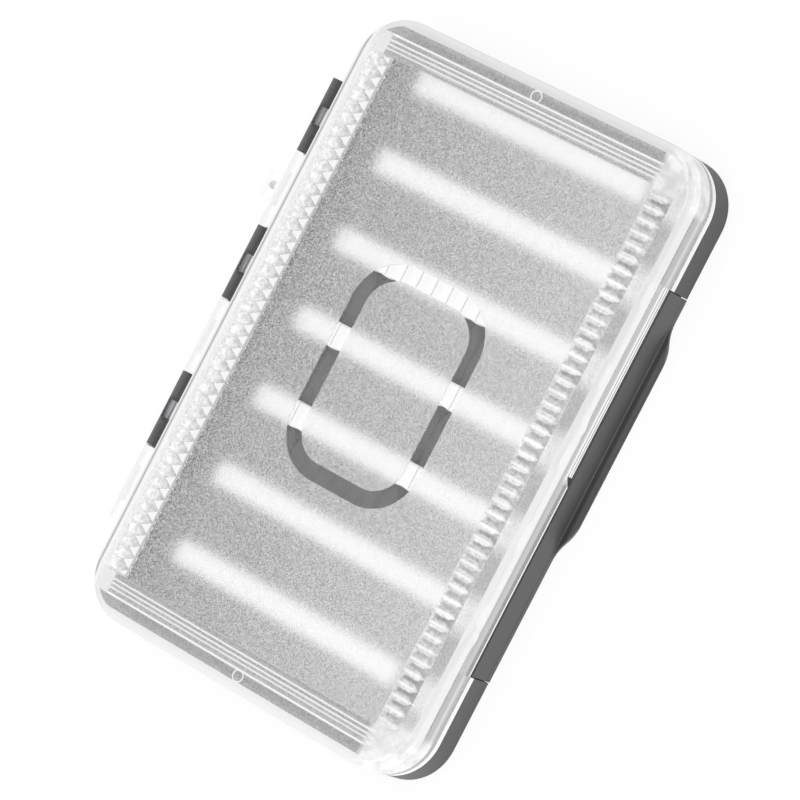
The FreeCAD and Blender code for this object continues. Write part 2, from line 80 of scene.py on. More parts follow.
class Graph:
    """A material's node tree with short ways to add what the materials here need."""

    def __init__(self, name):
        self.material = bpy.data.materials.new(name)
        self.material.use_nodes = True
        self.tree = self.material.node_tree
        self.tree.nodes.clear()
        self.output = self.tree.nodes.new("ShaderNodeOutputMaterial")
        coordinates = self.tree.nodes.new("ShaderNodeTexCoord")
        self.place = coordinates.outputs["Object"]
        self.facing = coordinates.outputs["Normal"]

    def link(self, source, target):
        self.tree.links.new(source, target)

    def feed(self, socket, value):
        if hasattr(value, "is_output"):
            self.link(value, socket)
        else:
            socket.default_value = value

    def node(self, kind, **values):
        made = self.tree.nodes.new(kind)
        for key, value in values.items():
            setattr(made, key, value)
        return made

    def math(self, operation, a, b=0.0, c=0.0, clamp=False):
        made = self.node("ShaderNodeMath", operation=operation, use_clamp=clamp)
        for socket, value in zip(made.inputs, (a, b, c)):
            self.feed(socket, value)
        return made.outputs[0]

    def times(self, a, b):
        return self.math("MULTIPLY", a, b)

    def plus(self, a, b):
        return self.math("ADD", a, b)

    def minus(self, a, b):
        return self.math("SUBTRACT", a, b)

    def size(self, value):
        return self.math("ABSOLUTE", value)

    def length(self, a, b):
        return self.math("SQRT", self.plus(self.times(a, a), self.times(b, b)))

    def axes(self, vector=None):
        made = self.node("ShaderNodeSeparateXYZ")
        self.link(vector or self.place, made.inputs[0])
        return made.outputs

    def noise(self, scale, detail=2.0, roughness=0.5, stretch=None):
        made = self.node("ShaderNodeTexNoise")
        made.inputs["Scale"].default_value = scale
        made.inputs["Detail"].default_value = detail
        made.inputs["Roughness"].default_value = roughness
        place = self.place
        if stretch:
            mapping = self.node("ShaderNodeMapping")
            mapping.inputs["Scale"].default_value = stretch
            self.link(self.place, mapping.inputs["Vector"])
            place = mapping.outputs[0]
        self.link(place, made.inputs["Vector"])
        return made.outputs["Fac"]

    def voronoi(self, scale):
        made = self.node("ShaderNodeTexVoronoi")
        made.inputs["Scale"].default_value = scale
        self.link(self.place, made.inputs["Vector"])
        return made.outputs

    def spread(self, value, low, high, out_low, out_high):
        made = self.node("ShaderNodeMapRange")
        made.inputs["From Min"].default_value = low
        made.inputs["From Max"].default_value = high
        made.inputs["To Min"].default_value = out_low
        made.inputs["To Max"].default_value = out_high
        self.link(value, made.inputs["Value"])
        return made.outputs[0]

    def slope(self, place, low, high, out_low, out_high):
        """Spread between two places in millimetres."""
        return self.spread(place, low * MM, high * MM, out_low, out_high)

    def positive(self, value, low, high):
        """0 where value is under low, 1 where it is over high."""
        return self.spread(value, low, high, 0.0, 1.0)

    def colours(self, fac, first, second):
        made = self.node("ShaderNodeMix", data_type="RGBA")
        self.feed(made.inputs["Factor"], fac)
        made.inputs[6].default_value = (*first, 1)
        made.inputs[7].default_value = (*second, 1)
        return made.outputs[2]

    def bump(self, height, strength, distance):
        made = self.node("ShaderNodeBump")
        made.inputs["Strength"].default_value = strength
        made.inputs["Distance"].default_value = distance
        self.link(height, made.inputs["Height"])
        return made.outputs[0]

    def principled(self, **values):
        made = self.node("ShaderNodeBsdfPrincipled")
        for key, value in values.items():
            self.feed(made.inputs[key.replace("_", " ")], value)
        return made

    def above(self, value, limit, soft=0.12):
        """1 where value is more than limit; millimetres, fading over soft."""
        return self.spread(value, (limit - soft) * MM, (limit + soft) * MM, 0.0, 1.0)

    def below(self, value, limit, soft=0.12):
        return self.spread(value, (limit - soft) * MM, (limit + soft) * MM, 1.0, 0.0)

    def within(self, value, low, high, soft=0.12):
        return self.times(self.above(value, low, soft), self.below(value, high, soft))

    def both(self, *masks):
        total = masks[0]
        for mask in masks[1:]:
            total = self.times(total, mask)
        return total

    def either(self, *masks):
        total = masks[0]
        for mask in masks[1:]:
            total = self.math("MAXIMUM", total, mask)
        return total

    def outside(self, mask):
        return self.minus(1.0, mask)

    def layer(self, under, over, mask):
        made = self.node("ShaderNodeMix", data_type="FLOAT")
        self.link(mask, made.inputs[0])
        self.feed(made.inputs[2], under)
        self.feed(made.inputs[3], over)
        return made.outputs[0]

    def finish(self, shader):
        self.link(shader, self.output.inputs["Surface"])
        return self.material


def rounded_box_mask(g, ax, ay, half_x, half_y, radius):
    """1 inside a rectangle with round corners, from |x| and |y|; sizes in millimetres."""
    dx = g.math("MAXIMUM", g.minus(ax, (half_x - radius) * MM), 0.0)
    dy = g.math("MAXIMUM", g.minus(ay, (half_y - radius) * MM), 0.0)
    return g.below(g.length(dx, dy), radius)


# Dark plastic, wire, seal and foam

def lip_painted_light(g):
    """Painted light on the latch's finger lip: darker root and dark edge as painted shade, lighter bead and
    the fine line over it as painted highlights.
    """
    root_from, bead_from, edge_from = -60.15, -61.4, -62.8
    root_tone, bead_highlight_tone, edge_shade_tone, highlight_line_tone = 0.72, 1.5, 0.45, 2.2
    highlight_line_low, highlight_line_high = 1.45, 1.75
    line_front, line_back = -60.1, -59.7
    sharp, medium, soft = 0.05, 0.06, 0.3
    y, z = g.axes()[1:]
    # Painted shade on the root and edge, painted highlights on the bead and the fine line.
    shade = g.layer(1.0, root_tone, g.below(y, root_from))
    shade = g.layer(shade, bead_highlight_tone, g.below(y, bead_from, soft))
    shade = g.layer(shade, edge_shade_tone, g.below(y, edge_from, medium))
    line = g.both(g.within(z, highlight_line_low, highlight_line_high, sharp), g.within(y, line_front, line_back, sharp))
    return g.layer(shade, highlight_line_tone, line)


def bracket_painted_light(g, x, y, z):
    """Fine lines along the brackets, with dark ends and a paler opening over the pin; the darker edges and
    ends are painted shade, the line a painted highlight, and the opening's paleness painted light.
    """
    repeat_start, repeat = 35.4, 47.2
    front_edge, back_edge = 65.9, 68.5
    front_tone, back_tone, end_shade_tone, highlight_line_tone = 0.55, 0.5, 0.5, 1.7
    line_front, line_back = 67.35, 67.65
    end_inner, end_outer, end_back = 3.5, 4.1, 67.4
    opening_inner, opening_outer, opening_back = 2.76, 2.9, 67.8
    opening_low, opening_high = 9.3, 11.6
    opening_low_light, opening_high_light = 10.0, 1.2
    turn = g.math("FRACT", g.math("DIVIDE", g.minus(x, repeat_start * MM), repeat * MM))
    off = g.times(g.size(g.minus(turn, 0.5)), repeat)
    shade = g.spread(g.noise(scale=1500.0, detail=2.0, roughness=0.6), 0.4, 0.6, 0.86, 1.12)
    # Painted shade at the front and back edges and the ends, a painted highlight line, and painted light in
    # the opening over the pin.
    shade = g.layer(shade, front_tone, g.below(y, front_edge, 0.3))
    shade = g.layer(shade, back_tone, g.above(y, back_edge, 0.15))
    shade = g.layer(shade, highlight_line_tone, g.within(y, line_front, line_back, 0.08))
    end = g.both(g.spread(off, end_inner, end_outer, 1.0, 0.0), g.below(y, end_back, 0.3))
    shade = g.layer(shade, end_shade_tone, end)
    opening = g.both(g.spread(off, opening_inner, opening_outer, 1.0, 0.0), g.below(y, opening_back, 0.05))
    pale = g.slope(z, opening_low, opening_high, opening_low_light, opening_high_light)
    return g.layer(shade, pale, opening)


def base_painted_shade(g):
    """Painted shade: walls darker towards the foot and the +X end, and the brackets in their own painted
    light and shade.
    """
    foot_low, foot_high, foot_shade_tone = 0.6, 6.0, 0.8
    end_x, left_light_tone, right_shade_tone = 95.0, 1.06, 0.82
    bracket_front, bracket_floor = 63.0, 9.2
    x, y, z = g.axes()
    bracket = g.both(g.above(y, bracket_front), g.above(z, bracket_floor, 0.05))
    # Painted shade: darker towards the floor and towards the +X end.
    foot = g.slope(z, foot_low, foot_high, foot_shade_tone, 1.0)
    wall = g.times(foot, g.slope(x, -end_x, end_x, left_light_tone, right_shade_tone))
    return g.layer(wall, bracket_painted_light(g, x, y, z), bracket)


def moulded_plastic(name, colour, roughness, shade):
    """Matt moulded plastic with a spark-eroded grain and faint handling marks, its colour scaled by the
    painted light and shade that shade gives.
    """
    darkest, lightest = 0.86, 1.12
    g = Graph(name)
    grain = g.noise(scale=5200.0, detail=3.0, roughness=0.6)
    cloud = g.noise(scale=38.0, detail=3.0, roughness=0.55)
    darker = tuple(c * darkest for c in colour)
    lighter = tuple(min(1.0, c * lightest) for c in colour)
    tint = g.colours(g.positive(cloud, 0.3, 0.7), darker, lighter)
    shaded = g.node("ShaderNodeVectorMath", operation="SCALE")
    g.link(tint, shaded.inputs[0])
    g.link(shade(g), shaded.inputs["Scale"])
    wear = g.spread(cloud, 0.35, 0.65, roughness - 0.05, roughness + 0.07)
    normal = g.bump(grain, strength=0.22, distance=0.00006)
    plastic = g.principled(Base_Color=shaded.outputs[0], Roughness=wear, Normal=normal, IOR=1.5)
    return g.finish(plastic.outputs[0])


def steel_wire(name):
    """Drawn steel wire with fine lines along it."""
    along_x = (0.02, 1.0, 1.0)
    dark_steel, light_steel = (0.46, 0.47, 0.49), (0.66, 0.67, 0.69)
    g = Graph(name)
    lines = g.noise(scale=900.0, detail=2.0, roughness=0.6, stretch=along_x)
    tint = g.colours(g.positive(lines, 0.35, 0.65), dark_steel, light_steel)
    rough = g.spread(lines, 0.3, 0.7, 0.2, 0.38)
    normal = g.bump(lines, strength=0.15, distance=0.00003)
    return g.finish(g.principled(Base_Color=tint, Metallic=1.0, Roughness=rough, Normal=normal).outputs[0])


def silicone(name):
    """Pale translucent seal."""
    dark_patch, light_patch = (0.62, 0.62, 0.6), (0.72, 0.72, 0.7)
    g = Graph(name)
    tint = g.colours(g.noise(scale=300.0, detail=2.0, roughness=0.5), dark_patch, light_patch)
    normal = g.bump(g.noise(scale=2500.0, detail=2.0, roughness=0.5), strength=0.1, distance=0.00004)
    return g.finish(g.principled(Base_Color=tint, Roughness=0.45, Normal=normal, IOR=1.41).outputs[0])


def foam(name, dark, light, cell_scale):
    """Closed-cell foam: small cells on the surface, with slight tone changes."""
    cloud_share, cell_share = 0.6, 0.4
    g = Graph(name)
    to_cell = g.voronoi(cell_scale)["Distance"]
    pits = g.spread(to_cell, 0.0, 0.6, 1.0, 0.0)
    cloud = g.noise(scale=90.0, detail=3.0, roughness=0.55)
    tone = g.math("ADD", g.times(cloud, cloud_share), g.times(to_cell, cell_share), clamp=True)
    tint = g.colours(tone, dark, light)
    normal = g.bump(pits, strength=0.4, distance=0.00012)
    return g.finish(g.principled(Base_Color=tint, Roughness=0.82, Normal=normal, IOR=1.4).outputs[0])


# Clear lid

def zone(mask, haze, tone, rough):
    """One finish of the lid: where it is, how cloudy it is, how bright the cloud is, and how rough."""
    return mask, haze, tone, rough


def strip_distance(g, x):
    """How far x is from the middle of the nearest foam strip, in metres."""
    start = STRIP_FIRST - 9.5 * STRIP_PITCH
    turn = g.math("FRACT", g.math("DIVIDE", g.minus(x, start * MM), STRIP_PITCH * MM))
    return g.times(g.size(g.minus(turn, 0.5)), STRIP_PITCH * MM)


def front_flute_zones(g, x, y, across, deck, mottle):
    """Front flutes: a painted highlight on each crest, and gaps in painted shade that widen towards the
    panel.
    """
    length, gap_length = 7.4, 6.4
    gap_widens, gap_share, shade_length = 2.3, 0.7, 3.0
    streak_inner, streak_outer, streak_from = 0.14, 0.3, 1.2
    strip_edge, strip_far = 3.0, 9.0
    near_tone, far_tone, root_tone = 0.42, 0.62, 1.25
    end, end_fade = 80.6, 1.4
    gap_edge_inner, gap_edge_outer, gap_fade, streak_fade = -0.08, 0.12, 0.6, 0.5
    front = g.both(deck, g.within(y, FLUTE_FRONT, FLUTE_FRONT + length), g.below(g.size(x), end, end_fade))
    width = g.slope(y, FLUTE_FRONT, FLUTE_FRONT + gap_widens, 0.0, gap_share)
    gap = g.both(front, g.positive(g.minus(across, width), gap_edge_inner, gap_edge_outer),
                 g.below(y, FLUTE_FRONT + gap_length, gap_fade))
    # Painted shade in the gaps, deeper near the foam strips and lighter at the front, and a painted highlight
    # on each crest.
    near = g.slope(strip_distance(g, x), strip_edge, strip_far, near_tone, far_tone)
    shadow = g.times(near, g.slope(y, FLUTE_FRONT, FLUTE_FRONT + shade_length, root_tone, 1.0))
    crest_highlight = g.both(front, g.spread(across, streak_inner, streak_outer, 1.0, 0.0),
                    g.above(y, FLUTE_FRONT + streak_from, streak_fade))
    return [
        zone(front, haze=0.8, tone=g.times(mottle, 0.92), rough=0.1),
        zone(crest_highlight, haze=0.88, tone=g.plus(g.times(mottle, 0.2), 0.81), rough=0.1),
        zone(gap, haze=0.82, tone=g.times(mottle, shadow), rough=0.1),
    ]


def back_flute_zones(g, x, y, across, deck, mottle):
    """Back flutes: pale fans that taper towards the panel, between a row of bright teeth."""
    length, tooth_from = 7.5, 3.9
    fan_taper_from, fan_taper_to, fan_share = 3.6, 7.2, 0.88
    line_front, line_back = 47.2, 47.7
    shade_from, shade_to, near_tone, far_tone = 2.8, 5.0, 0.86, 0.6
    fan_shade_from, fan_shade_to, fan_near_tone, fan_far_tone = 2.0, 6.0, 1.08, 0.7
    fleck_from, fleck_fade, dark_fleck, light_fleck = 3.4, 0.5, 0.36, 0.95
    edge = 0.04
    middle = g.below(g.size(x), FLUTE_HALF_X)
    back = g.both(deck, g.within(y, FLUTE_BACK - length, FLUTE_BACK), middle)
    depth = g.minus(FLUTE_BACK * MM, y)
    taper = g.slope(depth, fan_taper_from, fan_taper_to, fan_share, 0.0)
    fan = g.positive(g.minus(taper, across), -edge, edge)
    notch = g.slope(depth, tooth_from, length, 1.0, 0.0)
    tooth = g.both(g.positive(g.minus(across, notch), -edge, edge), g.above(depth, tooth_from))
    flecks = g.spread(g.noise(scale=1700.0, detail=2.0, roughness=0.7), 0.4, 0.6, dark_fleck, light_fleck)
    body_tone = g.slope(depth, shade_from, shade_to, near_tone, far_tone)
    fan_shade = g.slope(depth, fan_shade_from, fan_shade_to, fan_near_tone, fan_far_tone)
    line = g.both(deck, g.within(y, line_front, line_back, 0.2), middle)
    return [
        zone(back, haze=0.8, tone=body_tone, rough=0.2),
        zone(g.both(back, g.above(depth, fleck_from, fleck_fade)), haze=0.8, tone=flecks, rough=0.2),
        zone(g.both(back, tooth), haze=0.9, tone=0.99, rough=0.1),
        zone(g.both(back, fan), haze=0.88, tone=g.times(mottle, fan_shade), rough=0.1),
        zone(line, haze=0.7, tone=0.72, rough=0.2),
    ]


def flute_zones(g, x, y, deck, mottle):
    """Both rows of flutes; across goes from 0 on a crest to 1 between two flutes."""
    turn = g.math("FRACT", g.math("DIVIDE", x, FLUTE_PITCH * MM))
    across = g.size(g.minus(g.times(turn, 2.0), 1.0))
    rows = front_flute_zones(g, x, y, across, deck, mottle)
    return rows + back_flute_zones(g, x, y, across, deck, mottle)


def wall_zones(g, x, z, walls, dim):
    """The bands along the front wall: rim bead, groove, hood over the latch and its clear knuckle; the white
    rim band and knuckle bands are painted light caught at the clear edges.
    """
    rim_top, groove_top = 11.4, 12.9
    bead_low, bead_high = 14.2, 15.6
    recess_top, recess_line_low, recess_line_high = 18.2, 16.6, 17.0
    left_hood, left_knuckle, right_hood = 14.0, 12.1, 15.4
    upper_low, upper_high, lower_low, lower_high = 13.5, 13.9, 12.1, 12.5
    step = 1.2
    ax = g.size(x)
    recess = g.both(walls, g.below(ax, LATCH_HALF_X), g.below(z, recess_top))
    left = g.both(recess, g.below(x, 0.0, step))
    right = g.both(recess, g.above(x, 0.0, step))
    beside = g.both(walls, g.above(ax, LATCH_HALF_X))
    return [
        zone(walls, haze=0.82, tone=0.58, rough=0.2),
        zone(g.both(walls, g.above(z, recess_top, 0.5)), haze=0.82, tone=dim, rough=0.2),
        zone(g.both(beside, g.within(z, rim_top, groove_top, 0.25)), haze=0.85, tone=dim, rough=0.2),
        zone(g.both(beside, g.within(z, bead_low, bead_high, 0.5)), haze=0.85, tone=0.74, rough=0.2),
        # Painted light: the white rim band, knuckle bands and right hood stand for light caught at the clear
        # edges.
        zone(g.both(beside, g.below(z, rim_top)), haze=0.92, tone=0.98, rough=0.15),
        zone(recess, haze=0.85, tone=0.64, rough=0.2),
        zone(g.both(recess, g.within(z, recess_line_low, recess_line_high)), haze=0.85, tone=0.45, rough=0.2),
        zone(g.both(left, g.below(z, left_hood, 0.2)), haze=0.85, tone=g.times(dim, 0.75), rough=0.2),
        zone(g.both(left, g.below(z, left_knuckle)), haze=0.92, tone=0.98, rough=0.1),
        zone(g.both(right, g.below(z, right_hood, 0.2)), haze=0.9, tone=0.97, rough=0.1),
        zone(g.both(right, g.within(z, upper_low, upper_high, 0.08)), haze=0.85, tone=0.4, rough=0.1),
        zone(g.both(right, g.within(z, lower_low, lower_high, 0.08)), haze=0.85, tone=0.36, rough=0.1),
    ]


def frame_zones(g, places, masks, tones):
    """The raised frame's strips and ribs, the deck round it and the back edge with its grey line; painted
    highlight lines on the end ribs, and painted light on the front strip over the foam strips.
    """
    x, y, z, ax, ay = places
    deck, skin = masks
    bright, dim, mottle = tones
    frame_half_x, frame_half_y, frame_back = 88.6, 50.0, 54.1
    front_edge, front_inner, front_end, front_fade = -57.0, -53.0, 78.0, 2.5
    back_inner, back_edge, back_ridge = 55.1, 57.0, 21.17
    end_inner, end_outer, corner_slant, corner_cut = 89.0, 92.0, 0.7, 14.3
    rail_front, rail_back, rail_floor = 56.6, 60.2, 19.3
    seam_front, seam_back = 58.1, 59.3
    rib_glint_middles, rib_glint_half = (84.4, 85.65, 86.95), 0.25
    border_inner, border_outer = 88.35, 89.0
    mark_inner, mark_outer = 1.5, 1.9
    corner_x, corner_y, corner_floor = 80.0, -45.0, 13.3
    strip_edge, strip_far, strip_painted_glow, gap_painted_gloom = 3.0, 8.0, 0.5, 0.12

    front = g.both(g.within(y, front_edge, front_inner), g.below(ax, front_end, front_fade))
    # Painted light: the front strip is lighter over the white foam strips beneath.
    front_tone = g.plus(dim, g.slope(strip_distance(g, x), strip_edge, strip_far, strip_painted_glow, gap_painted_gloom))
    back = g.within(y, back_inner, back_edge)
    back_tone = g.times(bright, g.spread(mottle, 0.74, 1.04, 0.88, 1.0))
    diagonal = g.plus(g.times(ax, corner_slant), y)
    ends = g.both(g.within(ax, end_inner, end_outer), g.above(diagonal, corner_cut))
    frame_sides = g.both(g.below(ax, PANEL_HALF_X), g.within(ay, PANEL_HALF_Y, frame_back), deck)
    frame_ends = g.both(g.within(ax, PANEL_HALF_X, frame_half_x), g.below(ay, frame_half_y), deck)
    # Painted highlights: white glint lines on the end ribs.
    ribs = g.either(*[g.within(ax, middle - rib_glint_half, middle + rib_glint_half, 0.15) for middle in rib_glint_middles])
    outline = g.both(g.within(ax, border_inner, border_outer, 0.1), g.below(ay, frame_half_y))
    rail = g.above(z, rail_floor, 0.1)
    from_mark = g.length(g.minus(ax, GATE_PLACE * MM), y)
    gate = g.both(g.within(from_mark, mark_inner, mark_outer, 0.1), g.above(ax, end_inner))
    corner = g.both(g.above(ax, corner_x, 1.0), g.below(y, corner_y, 1.0))
    swirl = g.spread(g.noise(scale=260.0, detail=2.0, roughness=0.5), 0.35, 0.65, 0.84, 1.04)
    return [
        zone(g.above(y, rail_back), haze=0.85, tone=1.0, rough=0.05),
        zone(frame_sides, haze=0.62, tone=g.times(bright, mottle), rough=0.3),
        zone(g.both(deck, front), haze=0.74, tone=front_tone, rough=0.4),
        zone(g.both(deck, back), haze=0.8, tone=back_tone, rough=0.3),
        zone(g.both(deck, ends), haze=0.78, tone=g.times(dim, 0.94), rough=0.35),
        zone(g.both(deck, back, g.above(z, back_ridge, 0.03)), haze=0.85, tone=0.97, rough=0.1),
        zone(g.both(g.above(y, rail_front), g.below(y, rail_back), rail), haze=0.9, tone=0.98, rough=0.1),
        zone(g.both(g.within(y, seam_front, seam_back, 0.15), rail), haze=0.86, tone=0.5, rough=0.2),
        zone(frame_ends, haze=0.78, tone=g.plus(dim, 0.05), rough=0.3),
        zone(g.both(frame_ends, ribs), haze=0.88, tone=0.97, rough=0.1),
        zone(g.both(deck, outline), haze=0.88, tone=0.98, rough=0.1),
        zone(g.both(deck, gate), haze=0.88, tone=0.95, rough=0.1),
        zone(g.both(corner, skin, g.above(z, corner_floor, 0.3)), haze=0.78, tone=swirl, rough=0.05),
    ]


def lid_zones(g, grain):
    """The finishes of the lid, each laid over the ones before it."""
    deck_slack, skin_floor = 0.45, 19.8
    shoulder_floor, shoulder_step, front_edge = 16.9, 19.15, -57.0
    lean_from, lean_to = 0.25, 0.4
    grain_end, grain_front, grain_back = 48.0, 0.3, 0.46
    haze_front, haze_back = 0.47, 0.27
    x, y, z = g.axes()
    lean = g.axes(g.facing)[2]
    ax = g.size(x)
    ay = g.size(g.minus(y, FIELD_OFFSET * MM))
    deck = g.above(z, DECK - deck_slack)
    sides = g.outside(rounded_box_mask(g, ax, g.size(y), half_x=94.0, half_y=59.0, radius=14.0))
    beyond = g.outside(rounded_box_mask(g, ax, g.size(y), half_x=92.0, half_y=57.0, radius=12.0))
    shoulder = g.both(beyond, g.above(z, shoulder_floor), g.positive(lean, lean_from, lean_to),
                      g.either(g.above(z, shoulder_step), g.below(y, front_edge)))
    skin = g.either(sides, shoulder, g.above(z, skin_floor, 0.05))
    walls = g.both(sides, g.outside(shoulder))
    panel = g.both(g.below(ax, PANEL_HALF_X), g.below(ay, PANEL_HALF_Y))
    ring = g.both(rounded_box_mask(g, ax, ay, half_x=33.0, half_y=23.0, radius=15.0),
                  g.outside(rounded_box_mask(g, ax, ay, half_x=28.0, half_y=18.0, radius=10.0)))
    bright = g.spread(grain, 0.0, 1.0, 0.96, 1.05)
    dim = g.spread(grain, 0.0, 1.0, 0.34, 0.62)
    mottle = g.spread(g.noise(scale=800.0, detail=2.0, roughness=0.6), 0.36, 0.64, 0.74, 1.04)
    # Painted shade: the etched haze thins towards the back, so the panel darkens there.
    etched = g.math("MULTIPLY_ADD", g.minus(grain, 0.5),
                    g.slope(y, -grain_end, grain_end, grain_front, grain_back),
                    g.slope(y, -grain_end, grain_end, haze_front, haze_back))
    zones = [zone(skin, haze=0.84, tone=0.86, rough=0.14)]
    zones += wall_zones(g, x, z, walls, dim)
    zones += frame_zones(g, (x, y, z, ax, ay), (deck, skin), (bright, dim, mottle))
    zones += flute_zones(g, x, y, deck, mottle)
    zones += [
        zone(g.both(deck, panel), haze=etched, tone=bright, rough=0.44),
        zone(g.both(ring, deck), haze=0.0, tone=0.93, rough=0.02),
    ]
    return zones


def clear_lid(name):
    """Clear moulded plastic, etched on the panel and strips, that lets light into the case."""
    g = Graph(name)
    grain = g.axes(g.voronoi(3900.0)["Color"])[0]
    haze, tone, rough = 0.0, 0.93, 0.02
    for mask, zone_haze, zone_tone, zone_rough in lid_zones(g, grain):
        haze = g.layer(haze, zone_haze, mask)
        tone = g.layer(tone, zone_tone, mask)
        rough = g.layer(rough, zone_rough, mask)
    etching = g.bump(g.noise(scale=2600.0, detail=1.0, roughness=0.6), strength=0.5, distance=0.00008)
    waves = g.bump(g.noise(scale=60.0, detail=2.0, roughness=0.5), strength=0.06, distance=0.0002)
    normal = g.node("ShaderNodeMix", data_type="VECTOR")
    g.link(g.positive(rough, 0.2, 0.4), normal.inputs["Factor"])
    g.link(waves, normal.inputs[4])
    g.link(etching, normal.inputs[5])
    glass = g.principled(Base_Color=(1, 1, 1, 1), Roughness=rough, Normal=normal.outputs[1], IOR=1.49,
                         Transmission_Weight=1.0)
    grey = g.node("ShaderNodeCombineColor")
    flecked = g.times(tone, g.spread(grain, 0.0, 1.0, 0.97, 1.02))
    for socket in grey.inputs[:3]:
        g.link(flecked, socket)
    cloud = g.principled(Base_Color=grey.outputs[0], Roughness=0.6, IOR=1.4)
    surface = g.node("ShaderNodeMixShader")
    g.link(haze, surface.inputs[0])
    g.link(glass.outputs[0], surface.inputs[1])
    g.link(cloud.outputs[0], surface.inputs[2])
    path = g.node("ShaderNodeLightPath")
    mix = g.node("ShaderNodeMixShader")
    g.link(g.either(path.outputs["Is Shadow Ray"], path.outputs["Is Diffuse Ray"]), mix.inputs[0])
    g.link(surface.outputs[0], mix.inputs[1])
    g.link(g.node("ShaderNodeBsdfTransparent").outputs[0], mix.inputs[2])
    return g.finish(mix.outputs[0])


def dress(node, material):
    """Gives a kept CAD node its finish."""
    mesh = NODES[node].data
    mesh.materials.clear()
    mesh.materials.append(material)


# Modelled foam

def new_piece(name, bm, material, body, replaced):
    """Turns a mesh into a piece that rides its body and stands for a CAD node."""
    bmesh.ops.recalc_face_normals(bm, faces=bm.faces)
    mesh = bpy.data.meshes.new(name)
    bm.to_mesh(mesh)
    bm.free()
    made = bpy.data.objects.new(name, mesh)
    bpy.context.scene.collection.objects.link(made)
    mesh.materials.append(material)
    for face in mesh.polygons:
        face.use_smooth = True
    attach(made, body)
    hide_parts(replaced)
    return made


def rounding(radius, distance):
    """How far a round corner stands back at a distance from the edge that is under its radius."""
    return radius - math.sqrt(max(0.0, radius ** 2 - (radius - distance) ** 2))


def strip_stations(start, stop, first, count):
    """Where the strip's outline is drawn along Y: at even steps, and round both edges of each slit."""
    steps_per_row, digits = 22, 7
    slit_edge_shares = (-0.5, -0.3, 0.3, 0.5)
    slit = SLIT_WIDTH * MM
    pitch = ROW_PITCH * MM
    step = pitch / steps_per_row
    stations = []
    y = start
    while y < stop - step / 2:
        stations.append(y)
        y += step
    stations.append(stop)
    for number in range(count + 1):
        centre = first + number * pitch
        stations += [centre + share * slit for share in slit_edge_shares]
    return sorted(set(round(place, digits) for place in stations))


def strip_outline(y, low, high, first, count):
    """The strip's outline at y: round upper edges, crowned between slits, pinched in at both ends."""
    slit_share, pinch_share, corner_share, height_share, middle_share = 0.4, 0.5, 0.3, 0.8, 0.5
    corner_steps = 5
    x0, y0, z0 = low
    x1, y1, z1 = high
    pitch = ROW_PITCH * MM
    phase = (y - first) / pitch
    near = abs(phase - round(phase)) * pitch
    in_row = 0 <= round(phase) <= count
    drop = SLIT_DEPTH * MM if in_row and near < SLIT_WIDTH * MM * slit_share else 0.0
    bulge = 0.0
    if first < y < first + count * pitch:
        part = 2 * (phase - math.floor(phase)) - 1
        bulge = STRIP_BULGE * MM * (1 - part * part)
    to_end = min(y - y0, y1 - y)
    pinch = 0.0
    if to_end < STRIP_END_ROUND * MM:
        pinch = rounding(STRIP_END_ROUND * MM, to_end)
    crown = STRIP_END_CROWN * MM
    if in_row:
        crown = STRIP_CROWN * MM * (1 - math.cos(min(1.0, near / (pitch / 2)) * math.pi)) / 2
    left = x0 + bulge + pinch
    right = x1 - pinch
    top = z1 - STRIP_CROWN * MM + crown - drop - pinch * pinch_share
    edge = min(STRIP_EDGE_ROUND * MM, (right - left) * corner_share, (top - z0) * height_share)
    waist = z0 + (top - edge - z0) * middle_share
    corner = []
    for k in range(1, corner_steps):
        turn = math.pi / 2 * k / corner_steps
        corner.append((edge - edge * math.cos(turn), top - edge + edge * math.sin(turn)))
    outline = [(left, z0), (left, waist), (left, top - edge)]
    outline += [(left + inward, height) for inward, height in corner]
    outline += [(left + edge, top), ((left + right) / 2, top), (right - edge, top)]
    outline += [(right - inward, height) for inward, height in reversed(corner)]
    outline += [(right, top - edge), (right, waist), (right, z0)]
    return outline


def strip_piece(index, material):
    """One foam strip: crowned top, slit across, scalloped on its -X side."""
    node = "foam_strip_%d" % (index + 1)
    low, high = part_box(node)
    start, stop = low[1], high[1]
    pitch = ROW_PITCH * MM
    count = int((stop - start - 2 * STRIP_MARGIN * MM) / pitch)
    first = (start + stop - count * pitch) / 2
    bm = bmesh.new()
    rings = []
    for y in strip_stations(start, stop, first, count):
        outline = strip_outline(y, low, high, first, count)
        rings.append([bm.verts.new((x, y, z)) for x, z in outline])
    for a, b in zip(rings, rings[1:]):
        for k in range(len(a)):
            n = (k + 1) % len(a)
            bm.faces.new((a[k], a[n], b[n], b[k]))
    bm.faces.new(rings[0][::-1])
    bm.faces.new(rings[-1])
    return new_piece("white_strip_%d" % (index + 1), bm, material, "base", node)


def sheet_height(x, y, strips, start):
    """Height of the sheet's cushioned rows above its seat, 0 to 1."""
    narrowing_share, lowering_share, roundness = 0.55, 0.35, 2.6
    phase = (y - start) / (ROW_PITCH * MM)
    part = abs(2 * (phase - math.floor(phase)) - 1)
    ahead = min([edge - x for edge in strips if edge >= x] + [1.0])
    taper = max(0.0, 1 - ahead / (SHEET_TAPER * MM))
    width = 1 - narrowing_share * taper * taper
    inside = min(1.0, part / width)
    return math.sqrt(max(0.0, 1 - inside ** roundness)) * (1 - lowering_share * taper ** 3)


